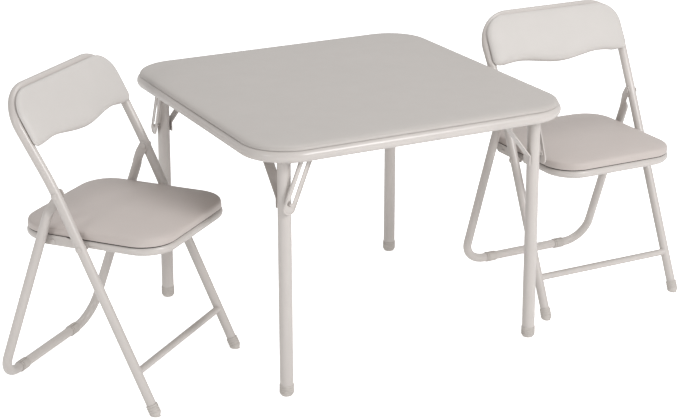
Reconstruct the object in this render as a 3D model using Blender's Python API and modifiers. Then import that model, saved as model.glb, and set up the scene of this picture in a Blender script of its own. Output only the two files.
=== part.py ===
"""A children's set: a square folding table with a padded top, and two folding chairs.

Metres, +Z up. The origin is on the floor under the middle of the whole set, the table's
edges run along X and Y, and each chair is modelled in its own frame: +X is the way its
sitter faces, +Y is the sitter's left, and its origin is on the floor between its front feet.
"""
import math

import bmesh
import bpy
from mathutils import Matrix, Vector

GAP = 0.0004
ARC_STEP = math.radians(18)

# The table, measured from its own middle.
TABLE_X = 0.0116
RIM_RADIUS = 0.0105
RIM_HALF = 0.2945
RIM_CORNER = 0.075
RIM_Z = 0.4365
BOARD_Z = 0.441
BOARD_THICK = 0.0058
PAD_HALF = 0.2990
PAD_CORNER = 0.0785
PAD_TOP = 0.4560

# One table leg, at the front left corner. The others are this one turned about the middle.
LEG_RADIUS = 0.0115
HINGE = Vector((-0.2405, -0.253, 0.4265))
LEG_FOOT = Vector((-0.242, -0.257, 0.0))
TOE_IN = math.radians(3.5)
PIN_RADIUS = 0.003
BORE_RADIUS = 0.0034
STRIP = 0.002
STRUT_WIDTH = 0.0185
LINK_PIVOT = Vector((-0.2069, -0.2725, 0.4285))
LINK_PIN = Vector((-0.2388, -0.2725, 0.3481))
LINK_HALF = 0.01125
SLOT_HALF = 0.00325
BRACKET_X = (-0.2520, -0.195)
BRACKET_Y = (-0.2705, -0.189)
BRACKET_Z = (0.4175, 0.4405)
BRACKET_WALL = 0.002
STRUT_LINE = ((0.0122, -0.092), (0.0122, -0.075), (0.0590, -0.0165), (0.0590, 0.005))

# One chair.
TUBE = 0.0085
SIDE = 0.1475
TOP_SIDE = 0.155
MAIN_LEAN = 0.465
BACK_LEAN = 0.565
KINK = Vector((-0.1753, 0, 0.3770))
KINK_BEND = 0.70
BACK_TOP = Vector((-0.2586, 0, 0.5245))
HOOP_BEND = 0.060
CROSSBAR_Z = 0.072
CROSSBAR_RADIUS = 0.00625
REAR_BAR = Vector((-0.303, 0, 0.010))
REAR_BEND = Vector((-0.1866, 0, 0.335))
LEG_PIVOT = Vector((-0.1695, 0, 0.3645))
FLAT_LENGTH = 0.041
FLAT_HALF = 0.00125
FLAT_SIDE = 0.13745
SEAT_PIVOT = Vector((-0.1290, 0, 0.2775))
SEAT_RING_RADIUS = 0.008
SEAT_RING_HALF = 0.1258
SEAT_FRONT = 0.0022
SEAT_REAR = -0.2598
SEAT_RING_Z = 0.2797
SEAT_PAD_HALF = 0.1325
SEAT_PAD_TOP = 0.3085
SEAT_PLATE_X = (-0.209, -0.152)
SEAT_PLATE_Z = (0.2725, 0.2890)
BRACKET_SIDE = 0.13495
RIVET_HEAD = 0.0058
GLIDE_SIDE = 0.0825
GLIDE_LENGTH = 0.022
BACK_DROP = 0.1165
BACK_PANEL = (0.0030, 0.0085)
BACK_PANEL_LOW = 0.036
BACK_PAD = (0.0090, 0.0210)
BACK_PAD_HALF = 0.1530
BACK_PAD_LOW = 0.0291
BACK_PAD_TOP = 0.1308
BACK_PAD_BEND = 0.045

CORNERS = ("front_left", "front_right", "back_right", "back_left")
CHAIRS = (
    ("left_chair", (-0.3544, -0.1356), -50.73),
    ("right_chair", (0.4775, -0.1962), -90.0),
)

# colour, roughness, metallic
FINISHES = {
    "powder_coat": ((0.62, 0.59, 0.57), 0.38, 0.0),
    "vinyl": ((0.57, 0.54, 0.51), 0.55, 0.0),
    "foot_plastic": ((0.49, 0.46, 0.43), 0.60, 0.0),
    "board": ((0.30, 0.27, 0.24), 0.80, 0.0),
    "steel": ((0.55, 0.54, 0.52), 0.35, 1.0),
}


# ---------------------------------------------------------------- helpers

def collection(name):
    found = bpy.data.collections.new(name)
    bpy.context.scene.collection.children.link(found)
    return found


def material(name, finish):
    colour, roughness, metallic = FINISHES[finish]
    made = bpy.data.materials.new(name)
    made.use_nodes = True
    shader = made.node_tree.nodes["Principled BSDF"]
    shader.inputs["Base Color"].default_value = (*colour, 1)
    shader.inputs["Roughness"].default_value = roughness
    shader.inputs["Metallic"].default_value = metallic
    return made


def rounded(corners, closed=True):
    """The points of a path past corners (point, radius), each turned as an arc."""
    path = []
    for index, (corner, radius) in enumerate(corners):
        corner = Vector(corner)
        if radius == 0:
            path.append(corner)
            continue
        before = (Vector(corners[index - 1][0]) - corner).normalized()
        after = (Vector(corners[(index + 1) % len(corners)][0]) - corner).normalized()
        half = before.angle(after) / 2
        centre = corner + (before + after).normalized() * radius / math.sin(half)
        start = corner + before * radius / math.tan(half) - centre
        turn = math.pi - 2 * half
        steps = max(2, round(turn / ARC_STEP))
        for step in range(steps + 1):
            angle = turn * step / steps
            point = centre + start * math.cos(angle) - before * radius * math.sin(angle)
            if not path or (point - path[-1]).length > 1e-6:
                path.append(point)
    if closed and (path[0] - path[-1]).length < 1e-6:
        path.pop()
    return path


def rectangle(low, high, radius):
    """A rounded rectangle in the XY plane."""
    points = ((low[0], low[1]), (high[0], low[1]), (high[0], high[1]), (low[0], high[1]))
    return rounded([((x, y, 0), radius) for x, y in points])


def circle(radius, steps=16):
    turns = (2 * math.pi * step / steps for step in range(steps))
    return [Vector((radius * math.cos(turn), radius * math.sin(turn), 0)) for turn in turns]


def bent_strip(line, thickness):
    """The side outline of a strip of this thickness that follows a line of (x, y)."""
    line = [Vector(point) for point in line]
    left, right = [], []
    for index, point in enumerate(line):
        ahead = (line[min(index + 1, len(line) - 1)] - point).normalized()
        behind = (point - line[max(index - 1, 0)]).normalized()
        along = (ahead + behind).normalized()
        across = Vector((-along.y, along.x))
        straight = ahead if ahead.length > 0 else behind
        reach = thickness / 2 / max(0.2, along.dot(straight))
        left.append((point + across * reach).to_3d())
        right.append((point - across * reach).to_3d())
    return left + right[::-1]


def curve(name, outlines, closed=True):
    """A curve object of POLY splines. A point is (position, size), or a position alone."""
    data = bpy.data.curves.new(name, "CURVE")
    for outline in outlines:
        spline = data.splines.new("POLY")
        spline.points.add(len(outline) - 1)
        spline.use_cyclic_u = closed
        for point, place in zip(spline.points, outline):
            position, size = place if isinstance(place, tuple) else (place, 1)
            point.co = (*position, 1)
            point.radius = size
    return bpy.data.objects.new(name, data)


def as_mesh(source):
    """The curve's surface as a welded mesh object in its place."""
    bpy.context.scene.collection.objects.link(source)
    evaluated = source.evaluated_get(bpy.context.evaluated_depsgraph_get())
    mesh = bpy.data.meshes.new_from_object(evaluated)
    shape = bmesh.new()
    shape.from_mesh(mesh)
    bmesh.ops.remove_doubles(shape, verts=shape.verts, dist=0.00002)
    bmesh.ops.recalc_face_normals(shape, faces=shape.faces)
    shape.to_mesh(mesh)
    shape.free()
    name, place, data = source.name, source.matrix_world.copy(), source.data
    bpy.data.objects.remove(source)
    bpy.data.curves.remove(data)
    made = bpy.data.objects.new(name, mesh)
    made.matrix_world = place
    return made


def tube(name, path, radius, closed=False, sides_step=4):
    """A round tube or rod along a path."""
    made = curve(name, [path], closed)
    made.data.dimensions = "3D"
    made.data.bevel_depth = radius
    made.data.bevel_resolution = sides_step
    made.data.use_fill_caps = not closed
    return as_mesh(made)


def plate(name, outlines, thickness, soft=0.0, soft_steps=1):
    """A flat outline, with any holes, centred on its plane, its edges rounded by soft."""
    made = curve(name, outlines)
    made.data.dimensions = "2D"
    made.data.fill_mode = "BOTH"
    made.data.extrude = thickness / 2 - soft
    made.data.bevel_depth = soft
    made.data.bevel_resolution = soft_steps
    return as_mesh(made)


def settled(piece):
    """The piece with its modifiers applied."""
    bpy.context.scene.collection.objects.link(piece)
    evaluated = piece.evaluated_get(bpy.context.evaluated_depsgraph_get())
    mesh = bpy.data.meshes.new_from_object(evaluated)
    bpy.context.scene.collection.objects.unlink(piece)
    piece.modifiers.clear()
    piece.data = mesh
    return piece


def turned(name, profile, steps=12):
    """A round piece about +Z from (radius, height) points, outer side running down."""
    mesh = bpy.data.meshes.new(name)
    edges = [(index, index + 1) for index in range(len(profile) - 1)]
    mesh.from_pydata([(radius, 0, height) for radius, height in profile], edges, [])
    made = bpy.data.objects.new(name, mesh)
    screw = made.modifiers.new("turn", "SCREW")
    screw.steps = steps
    screw.render_steps = steps
    screw.use_merge_vertices = True
    screw.merge_threshold = 0.00005
    return settled(made)


def rod_profile(radius, low, high):
    return [(0, high), (radius, high), (radius, low), (0, low)]


def cup_profile(inner, outer, floor, height, low=0.0, ribs=1):
    """A ribbed cap that a tube stands in: open at height, its inside floor at floor."""
    groove = 0.0006
    pitch = 0.0042
    profile = [(0, floor), (inner, floor), (inner, height), (outer - groove, height)]
    for rib in range(ribs):
        top = height - 0.001 - rib * pitch
        profile += [(outer, top), (outer, top - 0.0022), (outer - groove, top - 0.0032)]
    profile += [(outer, height - 0.001 - ribs * pitch), (outer, low + 0.002)]
    return profile + [(outer - 0.0015, low), (0, low)]


def aim(direction):
    """The rotation that takes +Z to a direction."""
    return Vector(direction).to_track_quat("Z", "Y").to_matrix().to_4x4()


UPRIGHT = Matrix.Rotation(math.pi / 2, 4, "X")


class Kit:
    """Puts pieces in the set under one parent, and cutters beside them."""

    def __init__(self, parts, cutters, parent):
        self.parts = parts
        self.cutters = cutters
        self.parent = parent

    def add(self, piece, finish, matrix=None, origin=None):
        """Place a piece under the parent, with its origin moved to a point if one is given."""
        if matrix is not None:
            piece.data.transform(matrix)
        if origin is not None:
            piece.data.transform(Matrix.Translation(-Vector(origin)))
            piece.location = origin
        piece.parent = self.parent
        piece.data.materials.clear()
        piece.data.materials.append(material(piece.name, finish))
        self.parts.objects.link(piece)
        piece.data.shade_smooth()
        piece.data.set_sharp_from_angle(angle=math.radians(35))
        return piece

    def cutter(self, name, radius, low, high, matrix):
        """A round cutter about the matrix's Z axis."""
        made = turned(name, rod_profile(radius, low, high))
        made.matrix_local = matrix
        made.parent = self.parent
        made.hide_render = True
        made.display_type = "WIRE"
        self.cutters.objects.link(made)
        return made


def combine(piece, other, operation="DIFFERENCE"):
    modifier = piece.modifiers.new(other.name, "BOOLEAN")
    modifier.operation = operation
    modifier.object = other
    return piece


def flatten_bottom(piece):
    """Cut the piece off at the floor, in its own coordinates."""
    shape = bmesh.new()
    shape.from_mesh(piece.data)
    whole = shape.verts[:] + shape.edges[:] + shape.faces[:]
    cut = bmesh.ops.bisect_plane(shape, geom=whole, plane_co=(0, 0, 0), plane_no=(0, 0, 1),
                                 clear_inner=True)
    rim = [item for item in cut["geom_cut"] if isinstance(item, bmesh.types.BMEdge)]
    bmesh.ops.contextual_create(shape, geom=rim)
    bmesh.ops.recalc_face_normals(shape, faces=shape.faces)
    shape.to_mesh(piece.data)
    shape.free()
    return piece


def foot_cap(name, ground, direction, inner, outer, floor, height):
    """A cap about a leaning tube's end, cut flat where it meets the floor."""
    cap = turned(name, cup_profile(inner, outer, floor, height, low=-0.006))
    cap.data.transform(Matrix.Translation(ground) @ aim(direction))
    return flatten_bottom(cap)


# ---------------------------------------------------------------- the table

def build_top(kit):
    corner = RIM_HALF - RIM_CORNER
    rim = rectangle((-RIM_HALF, -RIM_HALF), (RIM_HALF, RIM_HALF), RIM_CORNER)
    kit.add(tube("table_frame", rim, RIM_RADIUS, True), "powder_coat", Matrix.Translation((0, 0, RIM_Z)))
    # the board drops inside the rim, under the level where the rim is widest
    board_corner = 0.065
    half = corner + board_corner
    board = plate("table_board", [rectangle((-half, -half), (half, half), board_corner)], BOARD_THICK)
    kit.add(board, "board", Matrix.Translation((0, 0, BOARD_Z + BOARD_THICK / 2)))
    soft = 0.0036
    low = BOARD_Z + BOARD_THICK + GAP
    edge = PAD_HALF - soft
    outline = rectangle((-edge, -edge), (edge, edge), PAD_CORNER - soft)
    pad = plate("table_pad", [outline], PAD_TOP - low, soft, 2)
    kit.add(pad, "vinyl", Matrix.Translation((0, 0, (PAD_TOP + low) / 2)))


def build_leg(kit, corner):
    """One leg with all that folds it. It swings about a pin that is toed in from the rim."""
    along_pin = Matrix.Translation(HINGE) @ Matrix.Rotation(TOE_IN, 4, "Z")
    pin_axis = along_pin @ aim((0, 1, 0))
    bore = kit.cutter(f"pin_bore_{corner}", BORE_RADIUS, -0.035, 0.075, pin_axis)
    build_leg_tube(kit, corner, bore)
    build_strut(kit, corner, bore, along_pin)
    pin = turned(f"hinge_pin_{corner}", rod_profile(PIN_RADIUS, -0.0178, 0.0646))
    kit.add(pin, "steel", pin_axis)
    build_bracket(kit, corner, bore)
    build_link(kit, corner)


def build_leg_tube(kit, corner, bore):
    down = (LEG_FOOT - HINGE).normalized()
    up = HINGE - LEG_FOOT
    dome = ((0.0, 1.0), (0.0055, 0.87), (0.0095, 0.5))
    path = [(LEG_FOOT - down * 0.0036, 1.0)]
    path += [(HINGE - down * rise, size) for rise, size in dome]
    leg = tube(f"leg_{corner}", path, LEG_RADIUS)
    kit.add(combine(leg, bore), "powder_coat", origin=HINGE)
    foot = foot_cap(f"foot_{corner}", LEG_FOOT, up, LEG_RADIUS + 0.0003, 0.0125, 0.003, 0.020)
    kit.add(foot, "foot_plastic", origin=HINGE)


def build_strut(kit, corner, bore, along_pin):
    """A strip that lies on the leg, leans off to the middle and hangs on the pin's far end."""
    strut = plate(f"strut_{corner}", [bent_strip(STRUT_LINE, STRIP)], STRUT_WIDTH)
    side_on = along_pin @ Matrix.Rotation(math.pi / 2, 4, "Z") @ UPRIGHT
    kit.add(combine(strut, bore), "powder_coat", side_on, origin=HINGE)


def build_bracket(kit, corner, bore):
    """A channel under the board that holds the pin, with a stud for the locking link."""
    near, far = BRACKET_Y
    low, high = BRACKET_Z
    wall = BRACKET_WALL
    outline = ((near, low), (near, high), (far, high), (far, low), (far - wall, low),
               (far - wall, high - wall), (near + wall, high - wall), (near + wall, low))
    channel = plate(f"leg_bracket_{corner}", [[Vector((y, z, 0)) for y, z in outline]],
                    BRACKET_X[1] - BRACKET_X[0])
    middle = (BRACKET_X[0] + BRACKET_X[1]) / 2
    side_on = Matrix.Translation((middle, 0, 0)) @ Matrix.Rotation(math.pi / 2, 4, "Z") @ UPRIGHT
    stud_profile = [(0, 0.0030), (0.0052, 0.0030), (0.0052, 0.0014), (PIN_RADIUS, 0.0014),
                    (PIN_RADIUS, -0.0030), (0, -0.0030)]
    stud = turned(f"link_stud_{corner}", stud_profile)
    stud.matrix_local = Matrix.Translation(LINK_PIVOT) @ aim((0, -1, 0))
    stud.parent = kit.parent
    stud.hide_render = True
    stud.display_type = "WIRE"
    kit.cutters.objects.link(stud)
    combine(combine(channel, bore), stud, "UNION")
    kit.add(channel, "powder_coat", side_on)


def build_link(kit, corner):
    """A slotted bar that hangs from its stud and catches the leg at the slot's lower end."""
    reach = (LINK_PIN - LINK_PIVOT).length
    bar = rectangle((-LINK_HALF, -reach - 0.0068 - LINK_HALF), (LINK_HALF, LINK_HALF), LINK_HALF)
    slot = rectangle((-SLOT_HALF, -reach - SLOT_HALF), (SLOT_HALF, -0.018), SLOT_HALF)
    link = plate(f"lock_link_{corner}", [bar, slot, circle(PIN_RADIUS + GAP, 12)], STRIP)
    lean = math.atan2(LINK_PIVOT.x - LINK_PIN.x, LINK_PIVOT.z - LINK_PIN.z)
    hang = Matrix.Translation(LINK_PIVOT) @ UPRIGHT @ Matrix.Rotation(-lean, 4, "Z")
    kit.add(link, "powder_coat", hang, origin=LINK_PIVOT)


# ---------------------------------------------------------------- a chair

def both_sides(point, radius, side=SIDE):
    """A corner on the right side and its twin on the left, for a path that runs across."""
    right = ((point.x, -side, point.z), radius)
    left = ((point.x, side, point.z), radius)
    return right, left


def build_frame(kit, name, bores):
    lift = 0.008
    lean = Vector((-MAIN_LEAN, 0, 1)).normalized()
    stops = [both_sides(lean * lift, 0), both_sides(KINK, KINK_BEND),
             both_sides(BACK_TOP, HOOP_BEND, TOP_SIDE)]
    path = [right for right, left in stops] + [left for right, left in reversed(stops)]
    frame = tube(f"{name}_frame", rounded(path, False), TUBE)
    for bore in bores:
        combine(frame, bore)
    kit.add(frame, "powder_coat")
    bar_x = -MAIN_LEAN * CROSSBAR_Z
    reach = SIDE - TUBE - GAP
    bar = turned(f"{name}_front_crossbar", rod_profile(CROSSBAR_RADIUS, -reach, reach))
    across = Matrix.Translation((bar_x, 0, CROSSBAR_Z)) @ aim((0, 1, 0))
    kit.add(bar, "powder_coat", across)
    for side, place in (("right", -SIDE), ("left", SIDE)):
        ground = Vector((0, place, 0))
        cap = foot_cap(f"{name}_foot_{side}", ground, lean, TUBE + 0.0003, 0.0102, 0.007, 0.021)
        kit.add(cap, "foot_plastic")


def press_ends(legs, path):
    """Flatten the tops of the rear legs and offset them to the inside of the main tubes."""
    spread = 0.3
    down = (REAR_BAR - REAR_BEND).normalized()
    for vertex in legs.data.vertices:
        centre = min(path, key=lambda point: (point - vertex.co).length)
        below = (centre - LEG_PIVOT).dot(down)
        share = min(1.0, max(0.0, 1 - (below - FLAT_LENGTH) / 0.014))
        offset = vertex.co - centre
        flat_y = math.copysign(FLAT_SIDE, centre.y) + offset.y * FLAT_HALF / TUBE
        vertex.co.y += (flat_y - vertex.co.y) * share
        vertex.co += Vector((offset.x, 0, offset.z)) * spread * share


def build_rear_legs(kit, name, bore):
    tip = LEG_PIVOT + (LEG_PIVOT - REAR_BEND).normalized() * 0.010
    stops = [both_sides(tip, 0), both_sides(REAR_BEND, 0.020), both_sides(REAR_BAR, 0.050)]
    path = [right for right, left in stops] + [left for right, left in reversed(stops)]
    path = with_stations(rounded(path, False), (0.048, 0.055))
    legs = tube(f"{name}_rear_legs", path, TUBE)
    press_ends(legs, path)
    kit.add(combine(legs, bore), "powder_coat", origin=LEG_PIVOT)
    for side, place in (("right", -GLIDE_SIDE), ("left", GLIDE_SIDE)):
        glide = plate(f"{name}_glide_{side}", [split_ring(TUBE + 0.0003, 0.0100)], GLIDE_LENGTH)
        turn = Matrix.Translation((REAR_BAR.x, place, REAR_BAR.z)) @ UPRIGHT
        kit.add(glide, "foot_plastic", turn, origin=LEG_PIVOT)


def with_stations(path, depths):
    """Add points to the straight top stretches, at distances below the rear-leg pivot."""
    down = (REAR_BAR - REAR_BEND).normalized()
    full = [path[0]]
    for start, end in zip(path, path[1:]):
        extra = []
        if (end - start).length > 0.1 and abs(end.y - start.y) < 0.001:
            first = (start - LEG_PIVOT).dot(down)
            last = (end - LEG_PIVOT).dot(down)
            shares = sorted((depth - first) / (last - first) for depth in depths)
            extra = [start.lerp(end, share) for share in shares if 0.01 < share < 0.99]
        full += extra + [end]
    return full


def split_ring(inner, outer):
    """A ring's outline with a slit in it, in the XY plane."""
    slit = math.radians(10)
    steps = 18
    first = math.radians(200) + slit
    turns = [first + (2 * math.pi - 2 * slit) * step / steps for step in range(steps + 1)]
    rim = [Vector((outer * math.cos(turn), outer * math.sin(turn), 0)) for turn in turns]
    hole = [Vector((inner * math.cos(turn), inner * math.sin(turn), 0)) for turn in reversed(turns)]
    return rim + hole


def build_rivets(kit, name):
    """The rivets that the rear legs swing on, through the main tubes."""
    inside = 0.1347
    outside = SIDE + TUBE + 0.0020
    for side, sign in (("right", -1), ("left", 1)):
        profile = [(0, outside), (RIVET_HEAD * 0.7, outside), (RIVET_HEAD, SIDE + TUBE + 0.0004),
                   (PIN_RADIUS, SIDE + TUBE + 0.0004), (PIN_RADIUS, inside + 0.0011),
                   (RIVET_HEAD, inside + 0.0011), (RIVET_HEAD, inside), (0, inside)]
        rivet = turned(f"{name}_leg_rivet_{side}", profile)
        kit.add(rivet, "powder_coat", Matrix.Translation(LEG_PIVOT) @ aim((0, sign, 0)))


def build_seat(kit, name):
    middle = (SEAT_FRONT + SEAT_REAR) / 2
    reach = (SEAT_FRONT - SEAT_REAR) / 2

    def outline(grow, corner):
        low = (middle - reach - grow, -SEAT_RING_HALF - grow)
        high = (middle + reach + grow, SEAT_RING_HALF + grow)
        return rectangle(low, high, corner + grow)

    ring = tube(f"{name}_seat_ring", outline(0, 0.050), SEAT_RING_RADIUS, True)
    kit.add(ring, "powder_coat", Matrix.Translation((0, 0, SEAT_RING_Z)), SEAT_PIVOT)
    board_low = SEAT_RING_Z + SEAT_RING_RADIUS + 0.0003
    board_thick = 0.003
    board = plate(f"{name}_seat_board", [outline(0.001, 0.050)], board_thick)
    kit.add(board, "board", Matrix.Translation((0, 0, board_low + board_thick / 2)), SEAT_PIVOT)
    soft = 0.0060
    low = board_low + board_thick + 0.0003
    pad = plate(f"{name}_seat_pad", [outline(SEAT_PAD_HALF - SEAT_RING_HALF - soft, 0.050)],
                SEAT_PAD_TOP - low, soft, 2)
    kit.add(pad, "vinyl", Matrix.Translation((0, 0, (SEAT_PAD_TOP + low) / 2)), SEAT_PIVOT)
    for side, sign in (("right", -1), ("left", 1)):
        build_seat_bracket(kit, f"{name}_seat_bracket_{side}", sign)


def build_seat_bracket(kit, name, sign):
    """A plate on the side of the seat, with the stud that the seat swings on."""
    end = 0.0066
    tip, level = SEAT_PIVOT.x + end, SEAT_PIVOT.z
    rear, front = SEAT_PLATE_X
    low, high = SEAT_PLATE_Z
    outline = ((tip, level - end, end * 0.92), (tip, level + end, end * 0.92),
               (front, level + end, 0.010), (front - 0.013, high, 0.015),
               (rear, high, 0.005), (rear, low, 0.005), (front, low, 0.010))
    corners = [((x, z, 0), radius) for x, z, radius in outline]
    bracket = plate(name, [rounded(corners)], 0.0015)
    place = Matrix.Translation((0, sign * BRACKET_SIDE, 0)) @ UPRIGHT
    bracket.data.transform(place)
    outside = SIDE + TUBE + 0.0016
    profile = [(0, outside), (RIVET_HEAD * 0.7, outside), (RIVET_HEAD, SIDE + TUBE + 0.0004),
               (PIN_RADIUS, SIDE + TUBE + 0.0004), (PIN_RADIUS, BRACKET_SIDE), (0, BRACKET_SIDE)]
    stud = turned(f"{name}_stud", profile)
    stud.data.transform(Matrix.Translation(SEAT_PIVOT) @ aim((0, sign, 0)))
    stud.parent = kit.parent
    stud.hide_render = True
    stud.display_type = "WIRE"
    kit.cutters.objects.link(stud)
    combine(bracket, stud, "UNION")
    kit.add(bracket, "powder_coat", origin=SEAT_PIVOT)


def build_back(kit, name):
    """The panel between the hoop's tubes, and the pad in front of them."""
    up = Vector((-BACK_LEAN, 0, 1)).normalized()
    foot = BACK_TOP - Vector((-BACK_LEAN, 0, 1)) * BACK_DROP
    height = (BACK_TOP - foot).length
    turn = Matrix(((0, up.x, up.z, 0), (1, 0, 0, 0), (0, up.z, -up.x, 0), (0, 0, 0, 1)))
    slope = Matrix.Translation(foot) @ turn
    inset = TUBE + 0.0008
    low, high = BACK_PANEL
    outline = back_outline(SIDE - inset, BACK_PANEL_LOW, height - inset, HOOP_BEND - inset)
    panel = plate(f"{name}_back_panel", [outline], high - low)
    kit.add(panel, "board", slope @ Matrix.Translation((0, 0, (low + high) / 2)))
    soft = 0.0050
    low, high = BACK_PAD
    outline = back_outline(BACK_PAD_HALF - soft, BACK_PAD_LOW + soft, BACK_PAD_TOP - soft,
                           BACK_PAD_BEND - soft)
    pad = plate(f"{name}_back_pad", [outline], high - low, soft)
    kit.add(pad, "vinyl", slope @ Matrix.Translation((0, 0, (low + high) / 2)))


def back_outline(half, low, high, bend):
    """Round upper corners, and a lower edge of one wide lobe between two shallow arches."""
    arch, corner = 0.0132, 0.006
    lower = [(-half, low + corner, 0.010), (-half * 0.66, low + arch, 0.050),
             (-half * 0.2, low, 0.080), (half * 0.2, low, 0.080),
             (half * 0.66, low + arch, 0.050), (half, low + corner, 0.010)]
    outline = [(half, high, bend), (-half, high, bend)] + lower
    return rounded([((x, y, 0), radius) for x, y, radius in outline])


def build_chair(kit, name):
    across = aim((0, 1, 0))
    reach = SIDE + 0.020
    leg_bore = kit.cutter(f"{name}_leg_bore", BORE_RADIUS, -reach, reach,
                          Matrix.Translation(LEG_PIVOT) @ across)
    seat_bore = kit.cutter(f"{name}_seat_bore", BORE_RADIUS, -reach, reach,
                           Matrix.Translation(SEAT_PIVOT) @ across)
    build_frame(kit, name, (leg_bore, seat_bore))
    build_rear_legs(kit, name, leg_bore)
    build_rivets(kit, name)
    build_seat(kit, name)
    build_back(kit, name)


# ---------------------------------------------------------------- the set

def parent(name, x, y, turn):
    empty = bpy.data.objects.new(name, None)
    empty.location = (x, y, 0)
    empty.rotation_euler.z = turn
    bpy.context.scene.collection.objects.link(empty)
    return empty


def main():
    for old in list(bpy.data.objects):
        bpy.data.objects.remove(old, do_unlink=True)
    parts = collection("kids_table_and_chairs")
    cutters = collection("cutters")
    build_top(Kit(parts, cutters, parent("table", TABLE_X, 0, 0)))
    for index, corner in enumerate(CORNERS):
        empty = parent(f"{corner}_corner", TABLE_X, 0, index * math.pi / 2)
        build_leg(Kit(parts, cutters, empty), corner)
    for name, place, turn in CHAIRS:
        empty = parent(name, place[0] + TABLE_X, place[1], math.radians(turn))
        build_chair(Kit(parts, cutters, empty), name)


main()
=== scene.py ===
"""The looks of a children's folding table and two folding chairs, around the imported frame."""
import math

import bmesh
import bpy
from mathutils import Matrix, Vector, noise


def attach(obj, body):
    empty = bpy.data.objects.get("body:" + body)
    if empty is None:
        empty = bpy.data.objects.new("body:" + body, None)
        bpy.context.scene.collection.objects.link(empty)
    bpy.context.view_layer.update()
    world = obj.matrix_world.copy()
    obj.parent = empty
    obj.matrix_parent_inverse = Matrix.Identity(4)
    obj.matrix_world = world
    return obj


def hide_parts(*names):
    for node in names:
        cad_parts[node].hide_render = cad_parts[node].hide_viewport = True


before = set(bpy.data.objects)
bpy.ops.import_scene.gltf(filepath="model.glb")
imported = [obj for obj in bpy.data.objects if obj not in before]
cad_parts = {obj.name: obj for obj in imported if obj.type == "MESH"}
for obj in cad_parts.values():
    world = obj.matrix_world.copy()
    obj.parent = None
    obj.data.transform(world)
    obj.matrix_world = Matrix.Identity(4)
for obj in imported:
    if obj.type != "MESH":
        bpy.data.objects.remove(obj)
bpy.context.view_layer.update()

ARC_STEP = math.radians(6)
SIDES = 28

# The table, measured from its own middle.
TABLE_X = 0.0116
RIM_RADIUS = 0.0105
RIM_HALF = 0.2945
RIM_CORNER = 0.075
RIM_Z = 0.4365
PAD_HALF = 0.2995
PAD_CORNER = 0.0790
LEG_RADIUS = 0.0115
LEG_CROWN = 0.0098
CAP_FLOOR = 0.0036
HINGE = Vector((-0.2405, -0.253, 0.4265))
LEG_FOOT = Vector((-0.242, -0.257, 0.0))
LINK_PIVOT = Vector((-0.2069, -0.2725, 0.4285))
LINK_PIN = Vector((-0.2388, -0.2725, 0.3481))
LINK_HALF = 0.01125
SLOT_HALF = 0.00325
LINK_BEAD = 0.0011
PIVOT_HOLE = 0.0034

# One chair, in its own frame: +X to the front, +Y to the sitter's left.
TUBE = 0.0085
SIDE = 0.1475
TOP_SIDE = 0.155
MAIN_LEAN = 0.465
BACK_LEAN = 0.565
KINK = Vector((-0.1753, 0, 0.3770))
KINK_BEND = 0.70
BACK_TOP = Vector((-0.2586, 0, 0.5245))
HOOP_BEND = 0.060
CROSSBAR_Z = 0.072
CROSSBAR_RADIUS = 0.00625
REAR_BAR = Vector((-0.303, 0, 0.010))
REAR_BEND = Vector((-0.1866, 0, 0.335))
LEG_PIVOT = Vector((-0.1695, 0, 0.3645))
FLAT_LENGTH = 0.012
FLAT_BLEND = 0.034
FLAT_HALF = 0.00125
FLAT_SIDE = 0.13745
FLAT_SPREAD = 0.05
LEG_TIP = 0.0085
SEAT_PIVOT = Vector((-0.1290, 0, 0.2775))
SEAT_RING_RADIUS = 0.008
SEAT_RING_HALF = 0.1258
SEAT_MIDDLE = -0.1288
SEAT_REACH = 0.131
SEAT_PAD_HALF = (0.1365, 0.1330)
SEAT_PAD_CORNER = 0.056
SEAT_RING_Z = 0.2797
BRACKET_SIDE = 0.13495
RIVET_HEAD = 0.0058
GLIDE_SIDE = 0.0825
GLIDE_LENGTH = 0.022
BACK_DROP = 0.1165

CORNERS = ("front_left", "front_right", "back_right", "back_left")
CHAIRS = (
    ("left_chair", (-0.3544, -0.1356), -50.73),
    ("right_chair", (0.4775, -0.1962), -90.0),
)

# The studio. A light's name, place, width and power; then the camera, in metres and radians.
FLOOR_LEVEL = -0.0004
LIT_POINT = Vector((0, 0, 0.3))
LIGHTS = (
    ("key", (1.15, -2.85, 2.1), 1.1, 54),
    ("top", (0.4, 0.5, 2.6), 1.6, 14),
    ("left", (-2.6, -1.2, 1.2), 0.55, 9),
)
CAMERA_PLACE = Vector((-1.373245 + TABLE_X, -2.630015, 1.289410))
CAMERA_TURN = (0.479083, 0.348396, 0.000854)
CAMERA_LENS = 90.506


# ---------------------------------------------------------------- materials

def graph(name):
    """A new material, its nodes, and its shader."""
    made = bpy.data.materials.new(name)
    made.use_nodes = True
    return made, made.node_tree, made.node_tree.nodes["Principled BSDF"]


def add_noise(tree, scale, detail=3.0, roughness=0.5):
    """A noise texture on the object's own coordinates."""
    place = tree.nodes.new("ShaderNodeTexCoord")
    texture = tree.nodes.new("ShaderNodeTexNoise")
    texture.inputs["Scale"].default_value = scale
    texture.inputs["Detail"].default_value = detail
    texture.inputs["Roughness"].default_value = roughness
    tree.links.new(place.outputs["Object"], texture.inputs["Vector"])
    return texture.outputs["Fac"]


def add_cells(tree, scale):
    """The distance to the nearest cell edge of a fine grain."""
    place = tree.nodes.new("ShaderNodeTexCoord")
    texture = tree.nodes.new("ShaderNodeTexVoronoi")
    texture.feature = "DISTANCE_TO_EDGE"
    texture.inputs["Scale"].default_value = scale
    tree.links.new(place.outputs["Object"], texture.inputs["Vector"])
    return texture.outputs["Distance"]


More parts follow.
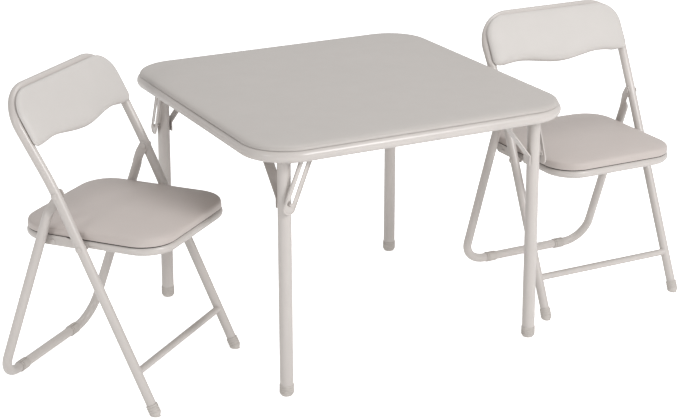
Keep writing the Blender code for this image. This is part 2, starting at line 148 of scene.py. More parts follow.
def ramp(tree, value, low, high, start, end):
    """A colour ramp from start to end over low to high."""
    node = tree.nodes.new("ShaderNodeValToRGB")
    node.color_ramp.elements[0].position = low
    node.color_ramp.elements[1].position = high
    node.color_ramp.elements[0].color = (*start, 1)
    node.color_ramp.elements[1].color = (*end, 1)
    tree.links.new(value, node.inputs["Fac"])
    return node.outputs["Color"]


def spread(tree, value, low, high):
    """The value, 0 to 1, spread over low to high."""
    node = tree.nodes.new("ShaderNodeMapRange")
    node.inputs["To Min"].default_value = low
    node.inputs["To Max"].default_value = high
    tree.links.new(value, node.inputs["Value"])
    return node.outputs["Result"]


def bump(tree, shader, layers):
    """Bump layers, each (height, distance, strength), one on another."""
    before = None
    for height, distance, strength in layers:
        node = tree.nodes.new("ShaderNodeBump")
        node.inputs["Distance"].default_value = distance
        node.inputs["Strength"].default_value = strength
        tree.links.new(height, node.inputs["Height"])
        if before is not None:
            tree.links.new(before, node.inputs["Normal"])
        before = node.outputs["Normal"]
    tree.links.new(before, shader.inputs["Normal"])


def shaded(colour, share):
    return tuple(channel * share for channel in colour)


def vinyl(name, colour, grain=900.0):
    """Soft matt vinyl with a fine leather grain, slightly uneven in tone and gloss."""
    made, tree, shader = graph(name)
    tone = add_noise(tree, 14.0, 4.0, 0.6)
    tree.links.new(ramp(tree, tone, 0.30, 0.72, shaded(colour, 0.985), shaded(colour, 1.012)),
                   shader.inputs["Base Color"])
    tree.links.new(spread(tree, add_noise(tree, 40.0), 0.40, 0.54), shader.inputs["Roughness"])
    shader.inputs["Specular IOR Level"].default_value = 0.38
    shader.inputs["Sheen Weight"].default_value = 0.08
    shader.inputs["Sheen Roughness"].default_value = 0.5
    cells = add_cells(tree, grain)
    fine = add_noise(tree, grain * 2.2, 2.0)
    slow = add_noise(tree, 55.0, 2.0)
    bump(tree, shader, ((slow, 0.0006, 0.25), (cells, 0.00025, 0.45), (fine, 0.0001, 0.35)))
    return made


def powder_coat(name, colour):
    """Satin powder coat on steel tube: a slight orange peel, and dust dulling it in places."""
    made, tree, shader = graph(name)
    tone = add_noise(tree, 9.0, 3.0, 0.55)
    tree.links.new(ramp(tree, tone, 0.32, 0.70, shaded(colour, 0.965), shaded(colour, 1.02)),
                   shader.inputs["Base Color"])
    tree.links.new(spread(tree, add_noise(tree, 60.0), 0.30, 0.36), shader.inputs["Roughness"])
    shader.inputs["Specular IOR Level"].default_value = 0.5
    shader.inputs["Coat Weight"].default_value = 0.20
    shader.inputs["Coat Roughness"].default_value = 0.22
    peel = add_noise(tree, 420.0, 2.0)
    bump(tree, shader, ((peel, 0.00005, 0.20),))
    return made


def plastic(name, colour):
    """Moulded soft plastic with a fine spark texture."""
    made, tree, shader = graph(name)
    tone = add_noise(tree, 60.0, 3.0)
    tree.links.new(ramp(tree, tone, 0.30, 0.70, shaded(colour, 0.93), shaded(colour, 1.04)),
                   shader.inputs["Base Color"])
    tree.links.new(spread(tree, add_noise(tree, 200.0), 0.48, 0.66), shader.inputs["Roughness"])
    shader.inputs["Specular IOR Level"].default_value = 0.42
    bump(tree, shader, ((add_noise(tree, 1500.0, 2.0), 0.00015, 0.4),))
    return made


def hardboard(name, colour):
    """Pressed fibre board: short fibres and darker flecks."""
    made, tree, shader = graph(name)
    fleck = add_noise(tree, 700.0, 5.0, 0.75)
    tree.links.new(ramp(tree, fleck, 0.34, 0.66, shaded(colour, 0.70), shaded(colour, 1.15)),
                   shader.inputs["Base Color"])
    tree.links.new(spread(tree, add_noise(tree, 90.0), 0.72, 0.90), shader.inputs["Roughness"])
    bump(tree, shader, ((fleck, 0.0003, 0.5),))
    return made


def steel(name, colour):
    """Zinc-plated steel, faintly cloudy."""
    made, tree, shader = graph(name)
    cloud = add_noise(tree, 240.0, 4.0, 0.6)
    tree.links.new(ramp(tree, cloud, 0.30, 0.70, shaded(colour, 0.85), shaded(colour, 1.05)),
                   shader.inputs["Base Color"])
    tree.links.new(spread(tree, cloud, 0.25, 0.42), shader.inputs["Roughness"])
    shader.inputs["Metallic"].default_value = 1.0
    bump(tree, shader, ((cloud, 0.0001, 0.2),))
    return made


MATERIALS = {
    "powder_coat": powder_coat("powder_coat", (0.580, 0.540, 0.512)),
    "table_vinyl": vinyl("table_vinyl", (0.500, 0.468, 0.442), 700.0),
    "seat_vinyl": vinyl("seat_vinyl", (0.545, 0.488, 0.458)),
    # The backs' vinyl is painted lighter than the seats': painted light standing in for the lamps'
    # light on the leaning backs.
    "back_vinyl": vinyl("back_vinyl", (0.600, 0.570, 0.545)),
    "foot_plastic": plastic("foot_plastic", (0.545, 0.508, 0.476)),
    # Near-black plastic used only as painted shadow in the gap under each seat pad.
    "painted_gap_shadow": plastic("painted_gap_shadow", (0.034, 0.029, 0.026)),
    "board": hardboard("board", (0.160, 0.125, 0.095)),
    "pin_steel": steel("pin_steel", (0.560, 0.550, 0.530)),
}


# ---------------------------------------------------------------- shapes

def rounded(corners, closed=True, step=ARC_STEP):
    """The points of a path past corners (point, radius), each turned as an arc."""
    path = []
    for index, (corner, radius) in enumerate(corners):
        corner = Vector(corner)
        if radius == 0:
            path.append(corner)
            continue
        before = (Vector(corners[index - 1][0]) - corner).normalized()
        after = (Vector(corners[(index + 1) % len(corners)][0]) - corner).normalized()
        half = before.angle(after) / 2
        centre = corner + (before + after).normalized() * radius / math.sin(half)
        start = corner + before * radius / math.tan(half) - centre
        turn = math.pi - 2 * half
        steps = max(3, round(turn / step))
        for count in range(steps + 1):
            angle = turn * count / steps
            point = centre + start * math.cos(angle) - before * radius * math.sin(angle)
            if not path or (point - path[-1]).length > 1e-6:
                path.append(point)
    if closed and (path[0] - path[-1]).length < 1e-6:
        path.pop()
    return path


def box_outline(half_x, half_y, radius, arc=10, straight=12):
    """A rounded rectangle with the same number of points whatever its size."""
    signs = ((1, -1), (1, 1), (-1, 1), (-1, -1))
    centres = [Vector((sx * (half_x - radius), sy * (half_y - radius), 0)) for sx, sy in signs]
    quarter = math.radians(90)
    points = []
    for turn, centre in enumerate(centres):
        first = math.radians(90 * turn - 90)
        for count in range(arc + 1):
            angle = first + quarter * count / arc
            points.append(centre + Vector((math.cos(angle), math.sin(angle), 0)) * radius)
        last = first + quarter
        here = points[-1]
        goal = centres[(turn + 1) % 4] + Vector((math.cos(last), math.sin(last), 0)) * radius
        points += [here.lerp(goal, count / straight) for count in range(1, straight)]
    return points


def mesh_object(name, verts, faces, sharp=40):
    mesh = bpy.data.meshes.new(name)
    mesh.from_pydata([tuple(vert) for vert in verts], [], faces)
    shape = bmesh.new()
    shape.from_mesh(mesh)
    bmesh.ops.remove_doubles(shape, verts=shape.verts, dist=1e-6)
    bmesh.ops.recalc_face_normals(shape, faces=shape.faces)
    shape.to_mesh(mesh)
    shape.free()
    mesh.shade_smooth()
    mesh.set_sharp_from_angle(angle=math.radians(sharp))
    return bpy.data.objects.new(name, mesh)


def loft(name, rings, cap_first=True, cap_last=True, sharp=40):
    """A skin over rings that have the same number of points."""
    count = len(rings[0])
    verts = [point for ring in rings for point in ring]
    faces = []
    for level in range(len(rings) - 1):
        low, high = level * count, (level + 1) * count
        for index in range(count):
            ahead = (index + 1) % count
            faces.append((low + index, low + ahead, high + ahead, high + index))
    if cap_first:
        faces.append(tuple(range(count))[::-1])
    if cap_last:
        last = (len(rings) - 1) * count
        faces.append(tuple(range(last, last + count)))
    return mesh_object(name, verts, faces, sharp)


def directions(path, closed):
    """The direction of travel at each point of a path."""
    made = []
    for index, point in enumerate(path):
        before = path[index - 1] if closed or index else point
        after = path[(index + 1) % len(path)] if closed or index < len(path) - 1 else point
        made.append(((after - point).normalized() + (point - before).normalized()).normalized())
    return made


def sweep(name, path, radius, closed=False, sides=SIDES, sizes=None, mould=None):
    """A tube along a path. Sizes scale its radius point by point, and mould reshapes a ring."""
    path = [Vector(point) for point in path]
    sizes = sizes or [1.0] * len(path)
    along = directions(path, closed)
    side = along[0].orthogonal().normalized()
    rings = []
    for index, point in enumerate(path):
        side = (side - along[index] * side.dot(along[index])).normalized()
        up = along[index].cross(side)
        ring = []
        for count in range(sides):
            angle = 2 * math.pi * count / sides
            offset = (side * math.cos(angle) + up * math.sin(angle)) * radius * sizes[index]
            ring.append(point + offset)
        rings.append(mould(point, ring) if mould else ring)
    if closed:
        rings.append(nearest_turn(rings[-1], rings[0]))
        return loft(name, rings, False, False)
    return loft(name, rings)


def nearest_turn(last, first):
    """The first ring, started at the point nearest to the last ring's first point."""
    start = min(range(len(first)), key=lambda index: (first[index] - last[0]).length)
    return first[start:] + first[:start]


def turned(name, profile, steps=32, sharp=35):
    """A round piece about +Z from (radius, height) points, closed where it meets the axis."""
    rings = []
    for radius, height in profile:
        radius = max(radius, 0.00001)
        rings.append([Vector((radius * math.cos(2 * math.pi * count / steps),
                              radius * math.sin(2 * math.pi * count / steps), height))
                      for count in range(steps)])
    return loft(name, rings, True, True, sharp)


def slab(name, outlines, thickness, soft=0.0003):
    """A flat outline, with any holes, centred on its plane, its edges rounded by soft."""
    data = bpy.data.curves.new(name, "CURVE")
    for outline in outlines:
        spline = data.splines.new("POLY")
        spline.points.add(len(outline) - 1)
        spline.use_cyclic_u = True
        for place, position in zip(spline.points, outline):
            place.co = (position.x, position.y, 0, 1)
    data.dimensions = "2D"
    data.fill_mode = "BOTH"
    data.extrude = thickness / 2 - soft
    data.bevel_depth = soft
    data.bevel_resolution = 2
    data.offset = -soft
    source = bpy.data.objects.new(name, data)
    bpy.context.scene.collection.objects.link(source)
    evaluated = source.evaluated_get(bpy.context.evaluated_depsgraph_get())
    mesh = bpy.data.meshes.new_from_object(evaluated)
    bpy.data.objects.remove(source)
    bpy.data.curves.remove(data)
    shape = bmesh.new()
    shape.from_mesh(mesh)
    bmesh.ops.remove_doubles(shape, verts=shape.verts, dist=0.00001)
    bmesh.ops.recalc_face_normals(shape, faces=shape.faces)
    shape.to_mesh(mesh)
    shape.free()
    mesh.shade_smooth()
    mesh.set_sharp_from_angle(angle=math.radians(35))
    return bpy.data.objects.new(name, mesh)


def moved(piece, matrix):
    piece.data.transform(matrix)
    return piece


def joined(name, pieces):
    """One piece from several."""
    shape = bmesh.new()
    for piece in pieces:
        shape.from_mesh(piece.data)
    mesh = bpy.data.meshes.new(name)
    shape.to_mesh(mesh)
    shape.free()
    return bpy.data.objects.new(name, mesh)


def cut_at_floor(piece):
    """Cut the piece off flat at z = 0."""
    shape = bmesh.new()
    shape.from_mesh(piece.data)
    whole = shape.verts[:] + shape.edges[:] + shape.faces[:]
    cut = bmesh.ops.bisect_plane(shape, geom=whole, plane_co=(0, 0, 0), plane_no=(0, 0, 1),
                                 clear_inner=True)
    rim = [item for item in cut["geom_cut"] if isinstance(item, bmesh.types.BMEdge)]
    bmesh.ops.contextual_create(shape, geom=rim)
    bmesh.ops.recalc_face_normals(shape, faces=shape.faces)
    shape.to_mesh(piece.data)
    shape.free()
    return piece


def aim(direction):
    """The rotation that takes +Z to a direction."""
    return Vector(direction).to_track_quat("Z", "Y").to_matrix().to_4x4()


UPRIGHT = Matrix.Rotation(math.pi / 2, 4, "X")


def put(piece, place, body, slot, *nodes):
    """Place a finished piece, give it its finish, and tie it to a body and its CAD nodes."""
    piece.data.transform(place)
    bpy.context.scene.collection.objects.link(piece)
    piece.data.materials.clear()
    piece.data.materials.append(MATERIALS[slot])
    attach(piece, body)
    if nodes:
        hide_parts(*nodes)
    return piece


def keep(node, slot, soft=0.0004):
    """Keep a CAD node, with softened edges and its finish."""
    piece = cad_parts[node]
    piece.data.materials.clear()
    piece.data.materials.append(MATERIALS[slot])
    bevel = piece.modifiers.new("soft_edges", "BEVEL")
    bevel.width = soft
    bevel.segments = 2
    bevel.limit_method = "ANGLE"
    bevel.angle_limit = math.radians(35)


def uneven(piece, amount, scale, seed, keep_below=-1.0):
    """Moves points along Z by a slow noise, in the piece's own frame."""
    for vertex in piece.data.vertices:
        if vertex.co.z > keep_below:
            at = vertex.co * scale + Vector((seed, seed, 0))
            vertex.co.z += noise.noise(at) * amount
    return piece


# ---------------------------------------------------------------- feet

def foot_cap(name, ground, direction, outer, height, place, body, node):
    """A ribbed cap about a leaning tube's end, cut flat where it meets the floor."""
    groove = 0.0007
    inner = outer - 0.0014
    profile = [(0, 0.003), (inner, 0.003), (inner, height), (outer - groove, height),
               (outer - 0.0002, height - 0.0004)]
    for rib in range(3):
        top = height - 0.0006 - rib * 0.0042
        profile += [(outer, top), (outer, top - 0.0024), (outer - groove, top - 0.0030),
                    (outer - groove, top - 0.0038)]
    profile += [(outer, height - 0.0134), (outer, 0.0052), (outer - 0.0004, 0.0040),
                (outer - 0.0016, 0.0020), (outer - 0.0034, -0.0006), (outer - 0.0040, -0.006),
                (0, -0.006)]
    cap = turned(name, profile)
    cap.data.transform(Matrix.Translation(ground) @ aim(direction))
    return put(cut_at_floor(cap), place, body, "foot_plastic", node)


# ---------------------------------------------------------------- the table

def table_rim(place):
    half, bend = RIM_HALF, RIM_CORNER
    points = ((-half, -half), (half, -half), (half, half), (-half, half))
    path = rounded([((x, y, RIM_Z), bend) for x, y in points], True, math.radians(3.75))
    put(sweep("rim_tube", path, RIM_RADIUS, True, 32), place, "table_top", "powder_coat",
        "table_frame")


# inset from the widest line, and height
TABLE_PAD = ((.0300, .44800), (.0080, .44795), (.0040, .44770), (.0014, .44700), (.0003, .44675),
             (.0000, .44710), (.0001, .44820), (.0006, .44960), (.0016, .45120), (.0034, .45270),
             (.0062, .45390), (.0105, .45470), (.0180, .45530), (.0300, .45570), (.0550, .45610),
             (.1000, .45640), (.1500, .45660), (.2000, .45675), (.2500, .45685), (.2800, .45690))


def table_cushion(place):
    rings = []
    for inset, height in TABLE_PAD:
        half = PAD_HALF - inset
        corner = max(PAD_CORNER - inset, half * 0.18)
        outline = box_outline(half, half, min(corner, half * 0.95), 16, 30)
        rings.append([Vector((point.x, point.y, height)) for point in outline])
    pad = loft("table_cushion", rings)
    uneven(pad, 0.00030, 9.0, 3.1, 0.4545)
    put(pad, place, "table_top", "table_vinyl", "table_pad")


def table_leg(corner, place):
    down = (LEG_FOOT - HINGE).normalized()
    body = f"{corner}_leg"
    path = [LEG_FOOT - down * CAP_FLOOR, LEG_FOOT - down * 0.2, HINGE + down * 0.02]
    sizes = [1.0, 1.0, 1.0]
    for count in range(9):
        angle = math.radians(84) * count / 8
        path.append(HINGE - down * LEG_CROWN * math.sin(angle))
        sizes.append(math.cos(angle) ** 0.75)
    leg = sweep("leg_tube_" + corner, path, LEG_RADIUS, sizes=sizes, sides=32)
    put(leg, place, body, "powder_coat", f"leg_{corner}")
    foot_cap("leg_cap_" + corner, LEG_FOOT, -down, 0.0125, 0.020, place, body, f"foot_{corner}")
    link_rivet(corner, place, body)
    locking_link(corner, place)


def link_rivet(corner, place, body):
    """The rivet on the leg that stands in the end of the link's slot."""
    outward = aim((0, -1, 0))
    base, tip = 0.0125, 0.0236
    profile = ((0, base - 0.003), (0.0026, base - 0.003), (0.0026, tip - 0.0012),
               (0.0022, tip - 0.0004), (0.0012, tip), (0, tip))
    rivet = turned("link_rivet_" + corner, profile[::-1], 20)
    shift = Matrix.Translation((LINK_PIN.x, -0.253, LINK_PIN.z))
    put(moved(rivet, shift @ outward), place, body, "powder_coat")


def long_outline(half, tail, level):
    """The outline of a bar with round ends, from its pivot down to its tail."""
    corners = ((-half, -tail), (half, -tail), (half, half), (-half, half))
    return rounded([((x, y, level), half * 0.98) for x, y in corners])


def locking_link(corner, place):
    """A slotted bar with rolled edges. The slot hooks aside at its lower end."""
    reach = (LINK_PIN - LINK_PIVOT).length
    tail = reach + 0.0068 + LINK_HALF
    bar = long_outline(LINK_HALF, tail, 0)
    half = SLOT_HALF
    top, hook, aside = -0.0075, -reach + 0.0052, -half - 0.0030
    slot = rounded((((half, -reach - half, 0), half * 0.95), ((half, top, 0), half * 0.95),
                    ((-half, top, 0), half * 0.95), ((-half, hook, 0), 0.0008),
                    ((aside, hook, 0), 0.0020), ((aside, -reach - half, 0), 0.0030)))
    turns = [math.radians(15 * count) for count in range(24)]
    hole = [Vector((math.cos(turn), math.sin(turn), 0)) * PIVOT_HOLE for turn in turns]
    link = slab("link_bar", [bar, slot, hole], 0.0020, 0.0004)
    edge = long_outline(LINK_HALF - LINK_BEAD, tail - LINK_BEAD, 0.0009)
    bead = sweep("link_bead", edge, LINK_BEAD, True, 12)
    lean = math.atan2(LINK_PIVOT.x - LINK_PIN.x, LINK_PIVOT.z - LINK_PIN.z)
    hang = Matrix.Translation(LINK_PIVOT) @ UPRIGHT @ Matrix.Rotation(-lean, 4, "Z")
    whole = moved(joined("slotted_link_" + corner, [link, bead]), hang)
    put(whole, place, f"{corner}_lock", "powder_coat", f"lock_link_{corner}")


# ---------------------------------------------------------------- a chair

def across(point, radius, side=SIDE):
    return ((point.x, -side, point.z), radius), ((point.x, side, point.z), radius)


def chair_frame(name, place):
    lean = Vector((-MAIN_LEAN, 0, 1)).normalized()
    stops = [across(lean * 0.008, 0), across(KINK, KINK_BEND),
             across(BACK_TOP, HOOP_BEND, TOP_SIDE)]
    path = [right for right, left in stops] + [left for right, left in reversed(stops)]
    fine = rounded(path, False, math.radians(4))
    put(sweep(f"{name}_hoop_tube", fine, TUBE, sides=32), place, f"{name}_base", "powder_coat",
        f"{name}_frame")
    bar_x = -MAIN_LEAN * CROSSBAR_Z
    reach = SIDE - TUBE * 0.55
    flare = [(-reach, 1.18), (-reach + 0.0045, 1.02), (-reach + 0.0075, 1.0)]
    stations = flare + [(-0.05, 1.0), (0.05, 1.0)] + [(-at, size) for at, size in reversed(flare)]
    bar = sweep(f"{name}_crossbar_tube", [(bar_x, at, CROSSBAR_Z) for at, size in stations],
                CROSSBAR_RADIUS, sizes=[size for at, size in stations])
    put(bar, place, f"{name}_base", "powder_coat", f"{name}_front_crossbar")
    for side, sign in (("right", -1), ("left", 1)):
        foot_cap(f"{name}_cap_{side}", Vector((0, sign * SIDE, 0)), lean, 0.0102, 0.021, place,
                 f"{name}_base", f"{name}_foot_{side}")
        leg_rivet(f"{name}_hub_{side}", sign, place, f"{name}_base", f"{name}_leg_rivet_{side}")


def leg_rivet(name, sign, place, body, node):
    """The rivet that a rear leg swings on, through the main tube."""
    inside = 0.1347
    face = SIDE + TUBE
    profile = ((0, face + 0.0020), (0.0020, face + 0.0019), (0.0040, face + 0.0014),
               (RIVET_HEAD - 0.0003, face + 0.0004), (RIVET_HEAD, face - 0.0004),
               (0.003, face - 0.0008), (0.003, inside + 0.0012),
               (RIVET_HEAD, inside + 0.0011), (RIVET_HEAD - 0.0004, inside + 0.0002),
               (0.003, inside - 0.0004), (0, inside - 0.0005))
    rivet = turned(name, profile, 28)
    put(moved(rivet, Matrix.Translation(LEG_PIVOT) @ aim((0, sign, 0))), place, body,
        "powder_coat", node)


def press(point, ring):
    """Flattens the top of a rear leg and sets it to the inside of the main tube."""
    below = (point - LEG_PIVOT).dot((REAR_BEND - LEG_PIVOT).normalized())
    if below >= FLAT_LENGTH + FLAT_BLEND:
        return ring
    share = min(1.0, 1 - (below - FLAT_LENGTH) / FLAT_BLEND)
    share = share * share * (3 - 2 * share)
    end = min(0.0, below) / (LEG_TIP + 0.0001)
    wide = math.sqrt(max(0.02, 1 - end * end)) * (1 + FLAT_SPREAD * share)
    plane = math.copysign(SIDE + (FLAT_SIDE - SIDE) * share, point.y)
    thick = 1 + (FLAT_HALF / TUBE - 1) * share
    offsets = [vertex - point for vertex in ring]
    return [Vector((point.x + offset.x * wide, plane + offset.y * thick,
                    point.z + offset.z * wide)) for offset in offsets]


def rear_legs(name, place):
    tip = LEG_PIVOT - (REAR_BEND - LEG_PIVOT).normalized() * LEG_TIP
    stops = [across(tip, 0), across(REAR_BEND, 0.045), across(REAR_BAR, 0.050)]
    path = [right for right, left in stops] + [left for right, left in reversed(stops)]
    fine = dense(rounded(path, False), 0.002, 0.085)
    legs = sweep(f"{name}_rear_tube", fine, TUBE, sides=32, mould=press)
    put(legs, place, f"{name}_rear", "powder_coat", f"{name}_rear_legs")
    for side, sign in (("right", -1), ("left", 1)):
        glide(f"{name}_sleeve_{side}", sign, place, f"{name}_rear", f"{name}_glide_{side}")


def dense(path, pitch, within):
    """Splits the stretches of a path that lie within a distance of the leg pivots."""
    full = [path[0]]
    for start, end in zip(path, path[1:]):
        steps = max(1, round((end - start).length / pitch))
        for count in range(1, steps + 1):
            at = start.lerp(end, count / steps)
            if count == steps or (at - LEG_PIVOT).xz.length < within:
                full.append(at)
    return full


def glide(name, sign, place, body, node):
    """A split sleeve on the floor bar, with a groove near one end."""
    inner, outer = TUBE + 0.0002, 0.0100
    half = GLIDE_LENGTH / 2
    groove = -half + 0.0042
    stations = ((-half, outer - 0.0007), (-half + 0.0004, outer - 0.0001), (-half + 0.0010, outer),
                (groove - 0.0006, outer), (groove - 0.0004, outer - 0.0009),
                (groove + 0.0004, outer - 0.0009), (groove + 0.0006, outer),
                (half - 0.0010, outer), (half - 0.0004, outer - 0.0001), (half, outer - 0.0007))
    slit = math.radians(7)
    steps = 40
    first = math.radians(200) + slit
    rings = []
    for at, radius in stations:
        turns = [first + (2 * math.pi - 2 * slit) * step / steps for step in range(steps + 1)]
        ring = [Vector((radius * math.cos(turn), radius * math.sin(turn), at)) for turn in turns]
        ring += [Vector((inner * math.cos(turn), inner * math.sin(turn), at))
                 for turn in reversed(turns)]
        rings.append(ring)
    sleeve = loft(name, rings)
    turn = Matrix.Translation((REAR_BAR.x, sign * GLIDE_SIDE, REAR_BAR.z)) @ aim((0, 1, 0))
    turn = turn @ Matrix.Rotation(math.radians(-90), 4, "Z")
    put(moved(sleeve, turn), place, body, "foot_plastic", node)


# ---------------------------------------------------------------- the seat

# inset from the widest line, and height
SEAT_PAD = ((.0300, .29000), (.0060, .28940), (.0030, .28880), (.0010, .28810), (.0002, .28830),
            (.0000, .28960), (.0001, .29300), (.0004, .29630), (.0012, .29870), (.0028, .30030),
            (.0056, .30160), (.0105, .30270), (.0175, .30380), (.0265, .30490), (.0380, .30590),
            (.0520, .30685), (.0680, .30745), (.0860, .30790), (.1020, .30815), (.1180, .30825))


def seat(name, place):
    body = f"{name}_seat"
    reach, half = SEAT_REACH, SEAT_RING_HALF
    points = ((-reach, -half), (reach, -half), (reach, half), (-reach, half))
    path = rounded([((SEAT_MIDDLE + x, y, SEAT_RING_Z), 0.050) for x, y in points], True,
                   math.radians(4.5))
    put(sweep(f"{name}_seat_tube", path, SEAT_RING_RADIUS, True), place, body, "powder_coat",
        f"{name}_seat_ring")
    keep(f"{name}_seat_board", "board")
    rings = []
    for inset, height in SEAT_PAD:
        half_x, half_y = (half - inset for half in SEAT_PAD_HALF)
        corner = max(SEAT_PAD_CORNER - inset, half_y * 0.30)
        outline = box_outline(half_x, half_y, min(corner, half_y * 0.9), 14, 16)
        rings.append([Vector((SEAT_MIDDLE + point.x, point.y, height)) for point in outline])
    pad = loft(f"{name}_seat_cushion", rings)
    uneven(pad, 0.0007, 16.0, len(name) * 1.7, 0.3000)
    put(pad, place, body, "seat_vinyl", f"{name}_seat_pad")
    # Painted shadow: a near-black strip in the gap between the seat ring and the pad.
    seat_gap_shadow_strip(f"{name}_seat_gap_shadow_strip", place, body)
    for side, sign in (("right", -1), ("left", 1)):
        seat_bracket(f"{name}_seat_plate_{side}", sign, place, body,
                     f"{name}_seat_bracket_{side}")


def seat_gap_shadow_strip(name, place, body):
    """A near-black strip set in the gap between the ring and the pad: painted shadow that darkens
    the gap line.
    """
    rings = []
    for inset, height in ((.0030, .2862), (.0014, .2862), (.0014, .2886), (.0030, .2886)):
        half_x, half_y = (half - inset for half in SEAT_PAD_HALF)
        outline = box_outline(half_x, half_y, SEAT_PAD_CORNER - inset, 14, 16)
        rings.append([Vector((SEAT_MIDDLE + point.x, point.y, height)) for point in outline])
    rings.append(list(rings[0]))
    put(loft(name, rings, False, False), place, body, "painted_gap_shadow")


def seat_bracket(name, sign, place, body, node):
    """A plate on the side of the seat with its pivot, and the rivet that the leg slides past."""
    end = 0.0066
    tip, level = SEAT_PIVOT.x + end, SEAT_PIVOT.z
    outline = ((tip, level - end, end * 0.92), (tip, level + end, end * 0.92),
               (-0.152, level + end, 0.010), (-0.165, 0.2880, 0.012), (-0.209, 0.2880, 0.004),
               (-0.209, 0.2708, 0.006), (-0.158, 0.2708, 0.010), (-0.145, level - end, 0.010))
    flat = slab("seat_plate", [rounded([((x, z, 0), radius) for x, z, radius in outline])], 0.0015)
    flat = moved(flat, Matrix.Translation((0, sign * BRACKET_SIDE, 0)) @ UPRIGHT)
    face = SIDE + TUBE
    stud = turned("seat_stud", ((0, face + 0.0016), (0.0024, face + 0.0015),
                                (0.0046, face + 0.0010), (RIVET_HEAD, face - 0.0002),
                                (0.003, face - 0.0008), (0.003, BRACKET_SIDE),
                                (0, BRACKET_SIDE)), 28)
    stud = moved(stud, Matrix.Translation(SEAT_PIVOT) @ aim((0, sign, 0)))
    rivet = turned("seat_rivet", ((0, 0.0024), (0.0022, 0.0022), (0.0038, 0.0014), (0.0044, 0),
                                  (0.0030, -0.0004), (0, -0.0004)), 24)
    spot = Vector((-0.1896, sign * (BRACKET_SIDE + 0.00075), 0.2772))
    rivet = moved(rivet, Matrix.Translation(spot) @ aim((0, sign, 0)))
    put(joined(name, [flat, stud, rivet]), place, body, "powder_coat", node)


# ---------------------------------------------------------------- the back

BACK_HALF = 0.1532
# half width, foot lift, top, and distance in front of the tubes' plane
BACK_PAD = ((.1200, .0120, .1050, -.0065), (.1330, .0050, .1150, -.0050),
            (.1370, .0015, .1195, -.0020), (.1385, .0005, .1215, .0015),
            (.1400, .0000, .1228, .0045), (.1436, .0000, .1252, .0068),
            (.1486, -.0003, .1283, .0084), (.1522, -.0006, .1302, .0100),
            (.1532, -.0004, .1309, .0120), (.1524, .0004, .1302, .0141),
            (.1500, .0022, .1281, .0161), (.1456, .0052, .1243, .0178),
            (.1390, .0100, .1188, .0190))


def lower_edge(at):
    """The height of the back pad's lower edge: a wide middle lobe between two arches."""
    middle, arch, corner, peak = 0.0281, 0.0387, 0.0350, 0.093
    at = abs(at)
    if at < peak:
        share = at / peak
        return middle + (arch - middle) * share * share * (3 - 2 * share)
    share = min(1.0, (at - peak) / 0.045)
    return arch + (corner - arch) * share * share * (3 - 2 * share)


def back_ring(half, lift, top, depth):
    """One ring of the back pad: x across, y up the lean, z to the front."""
    bend = max(0.020, 0.045 - (BACK_HALF - half))
    foot = 0.012
    points = []
    for sign, first in ((1, 0), (-1, 90)):
        for count in range(15):
            angle = math.radians(first + 90 * count / 14)
            centre = (sign * (half - bend), top - bend)
            points.append((centre[0] + bend * math.cos(angle), centre[1] + bend * math.sin(angle)))
        if sign > 0:
            left = (half - bend, top)
            points += [(left[0] * (1 - 2 * count / 24), top) for count in range(1, 24)]
    side_low = lower_edge(half) + lift + foot
    side_top = top - bend
    down = [side_top + (side_low - side_top) * count / 8 for count in range(1, 8)]
    points += [(-half, height) for height in down]
    for count in range(7):
        angle = math.radians(180 + 90 * count / 6)
        points.append((-half + foot + foot * math.cos(angle), side_low + foot * math.sin(angle)))
    span = half - foot
    for count in range(1, 40):
        at = -span + 2 * span * count / 40
        points.append((at, lower_edge(at) + lift))
    for count in range(7):
        angle = math.radians(270 + 90 * count / 6)
        points.append((half - foot + foot * math.cos(angle), side_low + foot * math.sin(angle)))
    points += [(half, height) for height in reversed(down)]
    return [Vector((x, y, depth)) for x, y in points]


def back_pad(name, place):
    up = Vector((-BACK_LEAN, 0, 1)).normalized()
    foot = BACK_TOP - Vector((-BACK_LEAN, 0, 1)) * BACK_DROP
    turn = Matrix(((0, up.x, up.z, 0), (1, 0, 0, 0), (0, up.z, -up.x, 0), (0, 0, 0, 1)))
    rings = [back_ring(*row) for row in BACK_PAD]
    edge, depth = rings[-1], BACK_PAD[-1][3]
    inward = ((0.88, 0.0198), (0.74, 0.0204), (0.58, 0.0208), (0.40, 0.0211), (0.20, 0.0212))
    for share, deep in inward:
        ring = []
        for point in edge:
            core = Vector((max(-0.085, min(0.085, point.x)), 0.080, depth))
            at = core.lerp(point, share)
            ring.append(Vector((at.x, at.y, deep)))
        rings.append(ring)
    pad = loft(f"{name}_back_cushion", rings)
    uneven(pad, 0.0010, 17.0, len(name) * 2.3, 0.0150)
    pad.data.transform(Matrix.Translation(foot) @ turn)
    # The back pads take the lighter copy of the vinyl, painted light for their lean towards the
    # lamps.
    put(pad, place, f"{name}_base", "back_vinyl", f"{name}_back_pad", f"{name}_back_panel")


# ---------------------------------------------------------------- the set

def build():
    table = Matrix.Translation((TABLE_X, 0, 0))
    table_rim(table)
    table_cushion(table)
    keep("table_board", "board")
    for index, corner in enumerate(CORNERS):
        place = table @ Matrix.Rotation(index * math.pi / 2, 4, "Z")
        table_leg(corner, place)
        keep(f"strut_{corner}", "powder_coat")
        keep(f"leg_bracket_{corner}", "powder_coat")
        keep(f"hinge_pin_{corner}", "pin_steel", 0.0003)
    for name, (x, y), turn in CHAIRS:
        place = Matrix.Translation((x + TABLE_X, y, 0)) @ Matrix.Rotation(math.radians(turn), 4, "Z")
        chair_frame(name, place)
        rear_legs(name, place)
        seat(name, place)
        back_pad(name, place)


# ---------------------------------------------------------------- the studio

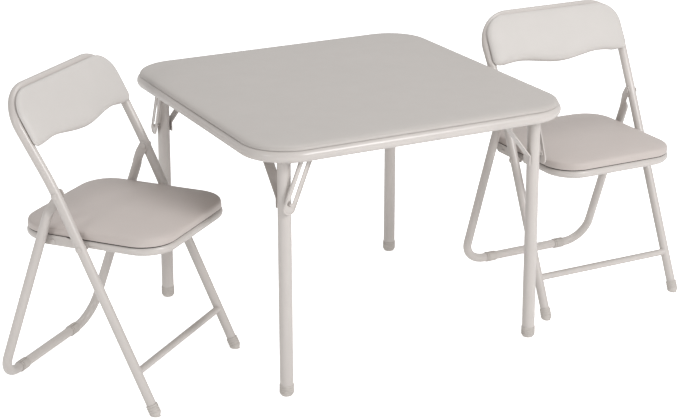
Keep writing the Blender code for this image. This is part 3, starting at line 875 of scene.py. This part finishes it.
def area_light(name, place, size, power):
    data = bpy.data.lights.new(name, "AREA")
    data.shape = "DISK"
    data.size = size
    data.energy = power
    lamp = bpy.data.objects.new(name, data)
    lamp.location = place
    lamp.rotation_euler = (LIT_POINT - Vector(place)).to_track_quat("-Z", "Y").to_euler()
    bpy.context.scene.collection.objects.link(lamp)


def seen_or_lit(tree, lit, seen):
    """One strength for the light that a surface gives, and another for how the camera sees it."""
    ray = tree.nodes.new("ShaderNodeLightPath").outputs["Is Camera Ray"]
    return spread(tree, ray, lit, seen)


def white_floor():
    corners = [Vector((x, y, FLOOR_LEVEL)) for x, y in ((-9, -9), (9, -9), (9, 9), (-9, 9))]
    floor = mesh_object("floor", corners, [(0, 1, 2, 3)])
    made, tree, shader = graph("floor_white")
    shader.inputs["Base Color"].default_value = (0.92, 0.92, 0.92, 1)
    shader.inputs["Roughness"].default_value = 0.9
    shader.inputs["Specular IOR Level"].default_value = 0.1
    shader.inputs["Emission Color"].default_value = (1, 1, 1, 1)
    tree.links.new(seen_or_lit(tree, 0.22, 0.85), shader.inputs["Emission Strength"])
    floor.data.materials.append(made)
    bpy.context.scene.collection.objects.link(floor)


def studio():
    white_floor()
    world = bpy.data.worlds.new("studio")
    world.use_nodes = True
    sky = world.node_tree.nodes["Background"]
    sky.inputs["Color"].default_value = (1, 1, 1, 1)
    world.node_tree.links.new(seen_or_lit(world.node_tree, 0.55, 1.0), sky.inputs["Strength"])
    bpy.context.scene.world = world
    for light in LIGHTS:
        area_light(*light)
    bpy.context.scene.view_settings.view_transform = "Standard"


def camera():
    data = bpy.data.cameras.new("camera")
    data.lens = CAMERA_LENS
    made = bpy.data.objects.new("camera", data)
    yaw, pitch, roll = CAMERA_TURN
    look = Vector((math.sin(yaw) * math.cos(pitch), math.cos(yaw) * math.cos(pitch),
                   -math.sin(pitch)))
    turn = look.to_track_quat("-Z", "Y").to_matrix().to_4x4()
    made.matrix_world = (Matrix.Translation(CAMERA_PLACE) @ turn
                         @ Matrix.Rotation(-roll, 4, "Z"))
    bpy.context.scene.collection.objects.link(made)
    bpy.context.scene.camera = made


camera()
studio()
build()
